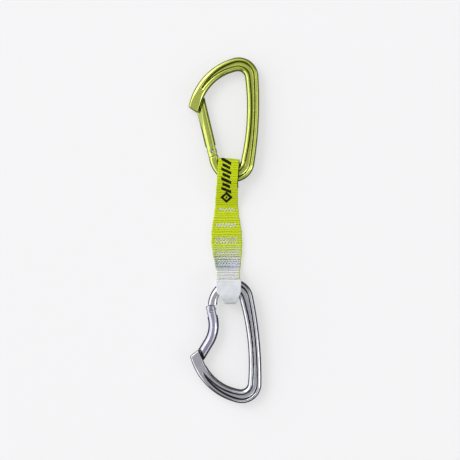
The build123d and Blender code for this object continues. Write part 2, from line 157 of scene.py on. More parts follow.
def cubic(x, xs, ys):
    """A smooth curve through the points (xs, ys): cubic Hermite with central slopes."""
    xs, ys = np.asarray(xs, float), np.asarray(ys, float)
    slope = np.gradient(ys, xs)
    x = np.clip(x, xs[0], xs[-1])
    i = np.clip(np.searchsorted(xs, x) - 1, 0, len(xs) - 2)
    step = xs[i + 1] - xs[i]
    t = (x - xs[i]) / step
    return (
        ys[i] * (2 * t**3 - 3 * t**2 + 1) + slope[i] * step * (t**3 - 2 * t**2 + t)
        + ys[i + 1] * (3 * t**2 - 2 * t**3) + slope[i + 1] * step * (t**3 - t**2)
    )


# ---------------------------------------------------------------- mesh helpers
def link(name, data):
    obj = bpy.data.objects.new(name, data)
    bpy.context.scene.collection.objects.link(obj)
    return obj


def add_mesh(name, verts, faces):
    data = bpy.data.meshes.new(name)
    data.from_pydata([tuple(v) for v in verts], [], faces)
    data.update()
    data.polygons.foreach_set("use_smooth", [True] * len(data.polygons))
    return link(name, data)


def face_outward(obj):
    bm = bmesh.new()
    bm.from_mesh(obj.data)
    bmesh.ops.recalc_face_normals(bm, faces=bm.faces)
    bm.to_mesh(obj.data)
    bm.free()


def ring_faces(stations, around, start=0):
    faces = []
    for i in range(stations - 1):
        a, b = start + i * around, start + (i + 1) * around
        for j in range(around):
            k = (j + 1) % around
            faces.append((a + j, a + k, b + k, b + j))
    return faces


def point_attribute(obj, name, kind, values):
    attribute = obj.data.attributes.new(name, kind, "POINT")
    field = "vector" if kind == "FLOAT_VECTOR" else "value"
    attribute.data.foreach_set(field, np.asarray(values, np.float32).ravel())


def tube(points, radius, around=8):
    """Verts and faces of a closed round thread along points (mm); radius may vary."""
    points = np.asarray(points, float)
    radius = np.broadcast_to(radius, len(points))
    tangent = np.gradient(points, axis=0)
    tangent /= np.linalg.norm(tangent, axis=1)[:, None] + 1e-12
    up = np.array([0.0, 0.0, 1.0])
    side = np.cross(tangent, up)
    side /= np.linalg.norm(side, axis=1)[:, None] + 1e-12
    third = np.cross(side, tangent)
    angle = np.arange(around) * 2 * math.pi / around
    ring = side[:, None] * np.cos(angle)[None, :, None] + third[:, None] * np.sin(angle)[None, :, None]
    verts = (points[:, None] + ring * radius[:, None, None]).reshape(-1, 3)
    faces = ring_faces(len(points), around)
    faces.append(tuple(range(around))[::-1])
    last = (len(points) - 1) * around
    faces.append(tuple(range(last, last + around)))
    return verts, faces


# ---------------------------------------------------------------- the sling's loop, seen from its side
def convex(points):
    points = sorted(map(tuple, np.round(points, 6)))

    def half(run):
        out = []
        for p in run:
            while len(out) > 1:
                (ax, ay), (bx, by) = out[-2], out[-1]
                if (bx - ax) * (p[1] - ay) - (by - ay) * (p[0] - ax) > 0:
                    break
                out.pop()
            out.append(p)
        return out[:-1]

    return np.array(half(points) + half(points[::-1]))


def eye_path(y0, z0, way, far, root):
    """Middle of the tape round one eye, from the bottom layer at the root to the top layer."""
    near_y, far_y = y0 - way * (EYE_NEAR - EYE_CORNER), y0 + way * (far - EYE_CORNER)
    turn = np.linspace(0, 2 * math.pi, 240, endpoint=False)
    ring = np.stack([np.cos(turn), np.sin(turn)], 1) * (EYE_CORNER + HALF)
    spots = [(y, z) for y in (near_y, far_y) for z in (z0 - ROD_HALF, z0 + ROD_HALF)]
    low, high = (root, HALF), (root, TOP_MID)
    hull = convex(np.concatenate([np.array(s) + ring for s in spots] + [[low, high]]))
    if way < 0:
        hull = hull[::-1]
    first = int(np.argmin(np.hypot(hull[:, 0] - low[0], hull[:, 1] - low[1])))
    hull = np.roll(hull, -first, axis=0)
    return np.concatenate([[(CUT_Y, HALF)], hull, [(CUT_Y, TOP_MID)]])


def even(path, step, soften):
    """Resample at an even step and soften the corners."""
    gap = np.r_[0, np.cumsum(np.hypot(*np.diff(path, axis=0).T))]
    s = np.linspace(0, gap[-1], int(gap[-1] / step) + 1)
    out = np.stack([np.interp(s, gap, path[:, 0]), np.interp(s, gap, path[:, 1])], 1)
    n = int(3 * soften / step)
    kernel = np.exp(-0.5 * (np.arange(-n, n + 1) * step / soften) ** 2)
    kernel /= kernel.sum()
    ends = np.concatenate([2 * out[0] - out[n:0:-1], out, 2 * out[-1] - out[-2:-n - 2:-1]])
    return np.stack([np.convolve(ends[:, k], kernel, "valid") for k in (0, 1)], 1)


def tape(name, path):
    """Flat woven tape along path: rounded selvedges, warp columns, weft ribs, stitch dimples."""
    y, z = path[:, 0], path[:, 1]
    count = len(path)
    tangent = np.gradient(path, axis=0)
    tangent /= np.linalg.norm(tangent, axis=1)[:, None]
    arc = np.r_[0, np.cumsum(np.hypot(*np.diff(path, axis=0).T))]
    at, left, right = zip(*EDGES)
    left, right = cubic(y, at, left), cubic(y, at, right)
    middle, wide = (left + right) / 2, (right - left) / 2
    # across the tape, closer together at the selvedges; u runs -1..1 outside and back inside
    packed = 0.93
    u_out = np.sin(np.linspace(-1, 1, MESH_ACROSS) * math.pi / 2 * packed) / math.sin(math.pi / 2 * packed)
    u = np.concatenate([u_out, u_out[-2:0:-1]])
    outer = np.concatenate([np.ones(MESH_ACROSS), -np.ones(MESH_ACROSS - 2)])
    normal = np.stack([-tangent[:, 1], tangent[:, 0]], 1)
    if normal[count // 2, 0] * (path[count // 2, 0] - path[0, 0]) < 0:
        normal = -normal
    x = middle[:, None] + wide[:, None] * u
    inset = np.clip((np.abs(u) * wide[:, None] - (wide[:, None] - HALF)) / HALF, 0, 1)
    crown = np.sqrt(np.clip(1 - inset**2, 0, 1))
    body = np.clip(crown * 1.5, 0, 1)
    side = outer * np.ones((count, 1))
    # the woven surface: warp columns, picks, and thicker weft ribs towards the lower end
    yy = y[:, None] * np.ones_like(u)
    weave = np.cos(math.pi * x / WARP) * np.cos(math.pi * arc[:, None] / (PICK / 2))
    drift = 0.07 * np.sin(x * 1.9 + yy) + 0.12 * np.sin(x * 0.43 + yy * 0.37) + 0.2 * np.sin(yy * 1.1)
    ribs = 0.5 - 0.5 * np.cos(2 * math.pi * (arc[:, None] + drift) / (2 * PICK))
    ribbed = smooth_step(-yy, 55, 66)
    high = 0.035 * weave * (1 - 0.5 * ribbed) + (0.07 + 0.26 * ribbed) * (ribs - 0.5)
    # dimples where the stitching pulls both layers together, and a slight puff between the rows
    sewn = np.zeros_like(x)
    for ty, tw, tx, deep in TACK_ROWS:
        along = np.exp(-(((yy - ty) / (deep / 2 + 0.7)) ** 4))
        sewn = np.maximum(sewn, along * smooth_step(tw / 2 + 1.4 - np.abs(x - tx), 0, 1.4))
    flat = smooth_step(yy, -74, -71) * smooth_step(-yy, 23, 26.5)
    puff = 0.16 * (1 - sewn) * flat
    thick = HALF * crown + body * np.where(side > 0, high + puff - 0.28 * sewn * flat, 0.02 * weave)
    off = side * thick
    py = y[:, None] + normal[:, :1] * off
    pz = z[:, None] + normal[:, 1:] * off
    # the upper end lies a little askew, and the selvedges are never quite straight
    py = py - 0.085 * x * smooth_step(yy, -4, 13)
    wobble = 0.14 * np.sin(yy * 0.7 + 1.3 * np.sign(u))
    wobble = wobble + 0.12 * np.sin(yy * 3.34 + 2 * np.sign(u)) * np.sin(yy * 0.9)
    x = x + wobble * smooth_step(np.abs(u), 0.7, 1.0)
    # the underside lies on the floor, so it is pressed flat there
    pz = np.maximum(pz, 0.02)
    verts = np.stack([x, py, pz], 2).reshape(-1, 3)
    around = len(u)
    faces = ring_faces(count, around)
    faces.append(tuple(range(around))[::-1])
    faces.append(tuple(range((count - 1) * around, count * around)))
    obj = add_mesh(name, row(verts), faces)
    face_outward(obj)
    top = (arc[:, None] > arc[-1] / 2) & (side > 0)
    point_attribute(obj, "tape", "FLOAT_VECTOR", np.stack([x, arc[:, None] * np.ones_like(u), yy], 2))
    point_attribute(obj, "top", "FLOAT", top * 1.0)
    point_attribute(obj, "rib", "FLOAT", np.where(side > 0, ribs, 0.5))
    selvedge = np.sign(u) * smooth_step(np.abs(u), 0.75, 1.0)
    point_attribute(obj, "selvedge", "FLOAT", selvedge * np.ones_like(x))
    for polygon in obj.data.polygons[-2:]:
        polygon.use_smooth = False
    return obj


upper_path = eye_path(0.0, EYE_Z, 1, EYE_FAR, EYE_ROOT)
lower_path = eye_path(-SPAN, FOOT_Z, -1, FOOT_FAR, FOOT_ROOT)
sling_upper = tape("sling_tape_upper", even(upper_path, MESH_ALONG, CORNER_SOFT))
sling_lower = tape("sling_tape_lower", even(lower_path, MESH_ALONG, CORNER_SOFT))


# ---------------------------------------------------------------- stitching
def bar_tack(name, spot):
    """Zigzag stitching, with the same stitches flush underneath."""
    ty, wide, tx, deep = spot
    verts, faces = [], []

    def thread(points, radius):
        v, f = tube(points, radius)
        base = sum(len(part) for part in verts)
        verts.append(v)
        faces.extend(tuple(k + base for k in face) for face in f)

    top_z, low_z = 2 * WEB, 0.22
    legs = int(wide / STITCH_PITCH)
    for level, way in ((top_z, 1), (low_z, -1)):
        path = []
        for i in range(legs):
            a = tx - wide / 2 + wide * i / legs
            b = a + wide / legs
            reach = deep / 2 if i % 2 else -deep / 2
            ya = ty + reach * (1 + rng.uniform(-0.3, 0.22))
            yb = ty - reach * (1 + rng.uniform(-0.3, 0.22))
            for t in np.linspace(0, 1, 7)[:-1]:
                bow = math.sin(math.pi * t)
                arch = 0.26 * bow**0.6 - 0.22 * (1 - bow**0.5)
                height = level + (arch if way > 0 else -0.15 * arch)
                path.append((a + (b - a) * t, ya + (yb - ya) * t, height))
        thread(path, 0.22 if way > 0 else 0.17)
    obj = add_mesh(name, row(np.concatenate(verts)), faces)
    point_attribute(obj, "dye", "FLOAT", np.full(len(obj.data.vertices), float(-60 < ty < -45)))
    return obj


tacks = [bar_tack("stitching_" + str(i), spot) for i, spot in enumerate(TACK_ROWS, 1)]


# ---------------------------------------------------------------- metal parts
def frame_axes(origin, turn, flip):
    """Origin and axes of one carabiner's own frame in sling coordinates, tilted onto its far end."""
    tilt = math.asin((origin[2] - ROD_HALF_THICK) / FAR_END)
    x = np.array([math.cos(turn), math.sin(turn), 0.0])
    lean = np.array([-math.sin(turn), math.cos(turn), 0.0]) * math.sin(tilt)
    z = lean + np.array([0.0, 0.0, -math.cos(tilt) if flip else math.cos(tilt)])
    return np.array(origin), np.stack([x, np.cross(z, x), z])


UPPER_AXES = frame_axes((0.0, 0.0, EYE_Z), 0.0, False)
LOWER_AXES = frame_axes((LOWER_X, -SPAN, FOOT_Z), math.radians(LOWER_TURN), True)


def unit(deg):
    return np.array([math.cos(math.radians(deg)), math.sin(math.radians(deg))])


def arcs(start, heading, runs):
    """Points along a chain of right-hand arcs (radius, sweep), and the last heading."""
    found, at = [], np.array(start, float)
    for radius, sweep in runs:
        centre = at + unit(heading - 90) * radius
        turns = np.radians(-np.linspace(0, sweep, 18))
        (x, y), cos, sin = at - centre, np.cos(turns), np.sin(turns)
        points = centre + np.stack([x * cos - y * sin, x * sin + y * cos], 1)
        found.append(points)
        at, heading = points[-1], heading - sweep
    return np.concatenate(found), heading


def arc_to(start, heading, end):
    """Points on the arc that leaves start at that heading and passes through end."""
    start, end = np.array(start), np.array(end)
    side = unit(heading + 90)
    gap = end - start
    radius = gap @ gap / (2 * gap @ side)
    centre = start + side * radius
    a0 = math.atan2(*(start - centre)[::-1])
    a1 = math.atan2(*(end - centre)[::-1])
    turn = (a1 - a0 + math.pi) % (2 * math.pi) - math.pi
    t = a0 + np.linspace(0, turn, 12)
    return centre + abs(radius) * np.stack([np.cos(t), np.sin(t)], 1)


def channel_edge():
    """The outline of the channel forged into each face of a carabiner."""
    arm, heading = arcs(NOSE_OUTER, ARM_HEADING, [ARM_ARC])
    out_start = arm[-1] + unit(heading - 90) * CHANNEL_OUT
    outer, _ = arcs(out_start, heading, [(radius - CHANNEL_OUT, sweep) for radius, sweep in OUTER_ARCS])
    in_arm, in_heading = arcs(IN_ARM_START, IN_ARM_HEADING, [IN_ARM_ARC])
    in_start = in_arm[-1] + unit(in_heading + 90) * CHANNEL_IN
    inner, _ = arcs(in_start, in_heading, [(radius + CHANNEL_IN, sweep) for radius, sweep in INNER_ARCS])
    half_tip = unit(CHANNEL_TIP_ACROSS) * CHANNEL_TIP_HALF
    out_tip = arc_to(out_start, heading + 180, CHANNEL_TIP + half_tip)
    in_tip = arc_to(in_start, in_heading + 180, CHANNEL_TIP - half_tip)
    return np.concatenate([out_tip[::-1], outer, inner[::-1], in_tip])


def edge_distance(points, loop):
    """Distance from each point to a closed outline, positive inside it."""
    a, b = loop, np.roll(loop, -1, axis=0)
    ab = b - a
    keep = (ab**2).sum(1) > 1e-12
    a, b, ab = a[keep], b[keep], ab[keep]
    out = np.empty(len(points))
    for i in range(0, len(points), 4000):
        p = points[i:i + 4000, None]
        t = np.clip(((p - a) * ab).sum(2) / (ab**2).sum(1), 0, 1)
        near = np.sqrt((((p - a) - ab * t[..., None]) ** 2).sum(2)).min(1)
        px, py = p[..., 0], p[..., 1]
        cross = (a[:, 1] > py) != (b[:, 1] > py)
        where = a[:, 0] + (py - a[:, 1]) * ab[:, 0] / np.where(ab[:, 1] == 0, 1e-12, ab[:, 1])
        inside = ((cross & (px < where)).sum(1) % 2) == 1
        out[i:i + 4000] = np.where(inside, near, -near)
    return out


def corners(mesh):
    co = np.empty(len(mesh.vertices) * 3, np.float32)
    mesh.vertices.foreach_get("co", co)
    return co.reshape(-1, 3).astype(float)


def eased(data, name, voxel, passes):
    """A new mesh: data remeshed at that voxel size in mm, then smoothed."""
    obj = link(name, data)
    remesh = obj.modifiers.new("remesh", "REMESH")
    remesh.mode = "VOXEL"
    remesh.voxel_size = voxel * MM
    ease = obj.modifiers.new("ease", "SMOOTH")
    ease.factor = 0.5
    ease.iterations = passes
    made = bpy.data.meshes.new_from_object(obj.evaluated_get(bpy.context.evaluated_depsgraph_get()))
    bpy.data.objects.remove(obj)
    made.materials.clear()
    made.polygons.foreach_set("use_smooth", [True] * len(made.polygons))
    return made


def own_frame(mesh, axes):
    """The mesh's points in a carabiner's own frame, in mm."""
    origin, turn = axes
    return (corners(mesh) / MM - SHIFT - origin) @ turn.T


def put_back(mesh, local, axes):
    origin, turn = axes
    moved = (local @ turn + origin + SHIFT) * MM
    mesh.vertices.foreach_set("co", moved.astype(np.float32).ravel())
    mesh.update()


def forged(node, name, axes):
    """A carabiner body: the CAD shape with rolled edges and leaning channel walls."""
    edge = channel_edge()
    mesh = eased(NODES[node].data.copy(), name, voxel=0.30, passes=2)
    local = own_frame(mesh, axes)
    deep = edge_distance(local[:, :2], edge)
    side, high = np.sign(local[:, 2]), np.abs(local[:, 2])
    shape = ROD_HALF_THICK - CHANNEL_DEEP * smooth_step(deep, CHANNEL_LIP[0], CHANNEL_LIP[1])
    carved = np.where(deep > -0.15, shape, np.minimum(high, shape))
    change = (deep > CHANNEL_LIP[0]) & (high > 1.2)
    local[:, 2] = np.where(change, side * carved, local[:, 2])
    put_back(mesh, local, axes)
    mesh = eased(mesh, name, voxel=0.325, passes=6)
    obj = link(name, mesh)
    # painted shade where the channel's walls stand
    local = own_frame(mesh, axes)
    deep = edge_distance(local[:, :2], edge)
    wall = np.exp(-(((deep - 0.5) / 0.6) ** 2)) * smooth_step(np.abs(local[:, 2]), 1.6, 2.4)
    point_attribute(obj, "wall", "FLOAT", wall)
    return obj


def turned(node, name, axes):
    """A gate: the CAD shape with eased edges, longer, and with painted shade where its end sits in the nose.
    """
    obj = link(name, eased(NODES[node].data.copy(), name, voxel=0.22, passes=4))
    local = own_frame(obj.data, axes)
    off = local[:, :2] - NOSE_INNER
    from_nose, along_nose = off @ unit(NOSE_OUT_DEG), off @ unit(NOSE_FACE_DEG)
    # painted shadow in the keylock slot: marks the gate's end for darkening
    wall = smooth_step(-from_nose, -2.8, -2.3) * smooth_step(along_nose, -0.5, 0.3)
    local[:, :2] -= 0.4 * smooth_step(-from_nose, -1.6, -0.9)[:, None] * unit(NOSE_OUT_DEG)
    put_back(obj.data, local, axes)
    point_attribute(obj, "wall", "FLOAT", wall)
    return obj


def rivet(name, axes, half):
    """A peened rivet: a turned profile with a dimple in each head, round the gate's pivot."""
    origin, turn = axes
    profile = [(r, half - drop) for r, drop in RIVET_HEAD]
    profile += [(r, drop - half) for r, drop in reversed(RIVET_HEAD)]
    angle = np.arange(RIVET_SIDES) * 2 * math.pi / RIVET_SIDES
    rings = [[(r * math.cos(t), r * math.sin(t), h) for t in angle] for r, h in profile[1:-1]]
    local = np.concatenate([[(0, 0, profile[0][1])], np.concatenate(rings), [(0, 0, profile[-1][1])]])
    local[:, :2] += PIVOT
    faces = ring_faces(len(rings), RIVET_SIDES, 1)
    last = 1 + (len(rings) - 1) * RIVET_SIDES
    for j in range(RIVET_SIDES):
        k = (j + 1) % RIVET_SIDES
        faces.append((0, 1 + k, 1 + j))
        faces.append((last + RIVET_SIDES, last + j, last + k))
    obj = add_mesh(name, row(local @ turn + origin), faces)
    face_outward(obj)
    return obj


worked = {
    "upper_body": forged("upper_body", "upper_body_forged", UPPER_AXES),
    "lower_body": forged("lower_body", "lower_body_forged", LOWER_AXES),
    "upper_gate": turned("upper_gate", "upper_gate_turned", UPPER_AXES),
    "lower_gate": turned("lower_gate", "lower_gate_turned", LOWER_AXES),
}
rivets = {
    "upper": rivet("upper_rivet_peened", UPPER_AXES, 4.2),
    "lower": rivet("lower_rivet_peened", LOWER_AXES, 4.1),
}


def coil(side):
    """The plunger's spring: a copy of the CAD spring that rides on its gate."""
    name = side + "_spring"
    obj = link(name + "_coil", NODES[name].data.copy())
    slide = next(j for j in frame["joints"] if j["name"] == side + "_plunger_slide")
    places = corners(obj.data)
    along = places @ np.array(slide["axis"], float)
    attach(obj, side + "_gate")
    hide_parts(name)
    places[int(along.argmax())].tolist()
    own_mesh(obj)
    return obj


coils = [coil("upper"), coil("lower")]


# ---------------------------------------------------------------- keeper
def keeper_copy(node, name):
    """The moulded rubber keeper: softened, narrower at its lower end, with a rolled lip at its mouth."""
    made = eased(NODES[node].data.copy(), name, voxel=0.34, passes=9)
    obj = link(name, made)
    co = corners(made)
    no = np.array([v.normal for v in made.vertices], float).reshape(-1, 3)
    sling_y = co[:, 1] / MM - SHIFT[1]
    lip = np.exp(-(((sling_y + 83.6) / 0.75) ** 2)) * 0.22
    groove = np.exp(-(((sling_y + 85.3) / 0.4) ** 2)) * -0.14
    mould = 0.07 * np.sin(co[:, 0] / MM * 0.9 + 0.6) * np.sin(sling_y * 0.6)
    x = co[:, 0] / MM - SHIFT[0]
    taper = smooth_step(-sling_y, 91.5, 99.5)
    pull = np.where(x < 0.5, 2.0, -0.8) * smooth_step(np.abs(x - 0.5), 2.0, 7.0)
    co[:, 0] += pull * taper * MM
    centre = (co.min(0) + co.max(0)) / 2
    outward = np.einsum("ij,ij->i", no, co - centre) > 0
    co += no * ((lip + groove + mould) * outward * MM)[:, None]
    co[:, 2] = np.maximum(co[:, 2], 0.00003)
    made.vertices.foreach_set("co", co.astype(np.float32).ravel())
    made.update()
    return obj


keeper = keeper_copy("keeper", "keeper_rubber")


# ---------------------------------------------------------------- materials
class Nodes:
    """A short way to write node trees: each call adds one node and links what it is given."""

    def __init__(self, tree):
        self.tree = tree

    def node(self, kind, ins=None, out=0, **settings):
        node = self.tree.nodes.new(kind)
        for key, value in settings.items():
            setattr(node, key, value)
        for key, value in (ins or {}).items():
            if isinstance(value, bpy.types.NodeSocket):
                self.tree.links.new(value, node.inputs[key])
            else:
                node.inputs[key].default_value = value
        return node.outputs[out]

    def math(self, how, a, b=0.0, clamp=False):
        return self.node("ShaderNodeMath", {0: a, 1: b}, operation=how, use_clamp=clamp)

    def times(self, a, b):
        return self.math("MULTIPLY", a, b)

    def plus(self, a, b):
        return self.math("ADD", a, b)

    def minus(self, a, b):
        return self.math("SUBTRACT", a, b)

    def blend(self, amount, a, b, how="MIX"):
        a, b = [(*c, 1) if isinstance(c, tuple) else c for c in (a, b)]
        ins = {"Factor": amount, 6: a, 7: b}
        return self.node("ShaderNodeMix", ins, out=2, data_type="RGBA", blend_type=how)

    def ramp(self, value, *stops):
        out = self.node("ShaderNodeValToRGB", {0: value})
        ramp = out.node.color_ramp
        for i, (place, colour) in enumerate(stops):
            stop = ramp.elements[i] if i < len(ramp.elements) else ramp.elements.new(place)
            stop.position = place
            stop.color = (*([colour] * 3), 1) if isinstance(colour, (int, float)) else (*colour, 1)
        return out

    def step(self, value, low, high):
        return self.node(
            "ShaderNodeMapRange", {"Value": value, "From Min": low, "From Max": high},
            interpolation_type="SMOOTHSTEP",
        )

    def noise(self, where, scale, detail=3.0, rough=0.5, out=0):
        ins = {"Vector": where, "Scale": scale, "Detail": detail, "Roughness": rough}
        return self.node("ShaderNodeTexNoise", ins, out)

    def place(self, scale=(1, 1, 1), turn=0.0):
        where = self.node("ShaderNodeTexCoord", out=3)
        ins = {"Vector": where, "Scale": scale, "Rotation": (0, 0, turn)}
        return self.node("ShaderNodeMapping", ins)

    def attribute(self, name, out=2):
        node = self.tree.nodes.new("ShaderNodeAttribute")
        node.attribute_name = name
        return node.outputs[out]

    def bump(self, height, strength, distance, normal=None):
        ins = {"Height": height, "Strength": strength, "Distance": distance}
        if normal is not None:
            ins["Normal"] = normal
        return self.node("ShaderNodeBump", ins)


class Shader(Nodes):
    """A material's node tree, with its Principled surface."""

    def __init__(self, name):
        self.material = bpy.data.materials.new(name)
        self.material.use_nodes = True
        super().__init__(self.material.node_tree)
        self.surface = self.tree.nodes["Principled BSDF"]

    def finish(self, **sockets):
        for key, value in sockets.items():
            socket = self.surface.inputs[key.replace("_", " ")]
            if isinstance(value, bpy.types.NodeSocket):
                self.tree.links.new(value, socket)
            else:
                socket.default_value = value
        return self.material


def metal(name, colour, deep, rough, grain, turn, coat=0.0, metallic=1.0):
    """Worked light alloy: tumbled grain, faint draw lines along the rod, small scratches, worn patches, and
    painted shade in recesses.
    """
    s = Shader(name)
    fine = s.noise(s.place((1, 1, 1)), 2600.0, 2.0)
    lines = s.noise(s.place((2200, 60, 700), turn), 1.0, 3.0)
    cloud = s.noise(s.place((1, 1, 1)), 90.0, 4.0)
    along = {"Vector": s.place((900, 55, 500), turn + 0.5), "Scale": 1.0}
    scratch = s.node("ShaderNodeTexVoronoi", along, feature="DISTANCE_TO_EDGE")
    nick = s.step(scratch, 0.03, 0.0)
    sparse = s.step(s.noise(s.place((1, 1, 1)), 140.0), 0.58, 0.66)
    marks = s.times(nick, sparse)
    tint = s.blend(s.step(cloud, 0.3, 0.75), colour, deep)
    tint = s.blend(s.times(marks, 0.35), tint, tuple(min(1.0, c * 1.3 + 0.08) for c in colour))
    dark = s.plus(0.8, s.times(cloud, 0.4))
    # painted shade: darker colour and no coat on channel walls and on the gate's end in the nose
    wall_shade = s.math("MULTIPLY", s.attribute("wall"), dark, clamp=True)
    left = 0.05 if metallic == 1.0 else 0.22
    tint = s.blend(wall_shade, tint, tuple(c * left for c in deep))
    roughness = s.plus(s.times(cloud, 0.08), rough - 0.04)
    roughness = s.plus(roughness, s.times(lines, 0.05))
    roughness = s.plus(roughness, s.times(marks, 0.2))
    height = s.plus(s.times(fine, 0.5), s.times(lines, 0.6))
    height = s.minus(height, s.times(marks, 1.6))
    s.surface.inputs["Coat Roughness"].default_value = 0.10
    s.surface.inputs["Coat IOR"].default_value = 2.1
    return s.finish(
        Base_Color=tint, Metallic=metallic, Roughness=roughness, Normal=s.bump(height, grain, 0.00004),
        Coat_Weight=s.times(s.minus(1.0, wall_shade), coat),
    )


lime_metal = metal(
    "lime_anodised", (0.48, 0.55, 0.010), (0.40, 0.47, 0.006), rough=0.16, grain=0.12, turn=0.0,
    coat=1.0, metallic=0.80,
)
gate_metal = metal("drawn_alloy", (0.48, 0.475, 0.57), (0.42, 0.41, 0.51), rough=0.15, grain=0.12, turn=0.2)
grey_metal = metal(
    "polished_alloy", (0.60, 0.60, 0.65), (0.53, 0.53, 0.585), rough=0.13, grain=0.12, turn=0.05,
)
rivet_metal = metal("rivet_steel", (0.36, 0.355, 0.35), (0.27, 0.265, 0.26), rough=0.26, grain=0.2, turn=0.0)
spring_metal = metal("spring_wire", (0.55, 0.54, 0.52), (0.48, 0.46, 0.43), rough=0.28, grain=0.4, turn=0.3)


# the tape's colours, among them painted shades for rib valleys, yarn gaps and the edge by the rod, and the
# sizes of its woven mark in mm
LIME_DEEP, LIME_BRIGHT = (0.455, 0.55, 0.002), (0.60, 0.715, 0.006)
LIME_GROOVE_SHADE, LIME_FLECK = (0.24, 0.30, 0.01), (0.12, 0.15, 0.01)
LIME_DULL, LIME_WORN = (0.40, 0.49, 0.01), (0.66, 0.75, 0.10)
PALE_SLATE, PALE_LILAC, PALE_WHITE = (0.36, 0.43, 0.46), (0.56, 0.56, 0.76), (0.78, 0.79, 0.80)
PALE_LIME, PALE_GROOVE_SHADE, PALE_SPOT = (0.58, 0.66, 0.20), (0.11, 0.12, 0.125), (0.05, 0.055, 0.05)
WEFT_LINE, YARN_GAP_SHADE, ROD_SHADE = (0.68, 0.73, 0.45), (0.55, 0.58, 0.50), (0.008, 0.009, 0.002)
MARK_DEEP, MARK_LIT = (0.003, 0.004, 0.001), (0.014, 0.016, 0.004)
MARK_X = 2.05
MARK_STEP = 0.28
MARK_SLANT = 0.42
BAR_PITCH = 3.7
DIAMOND_Y = 16.4


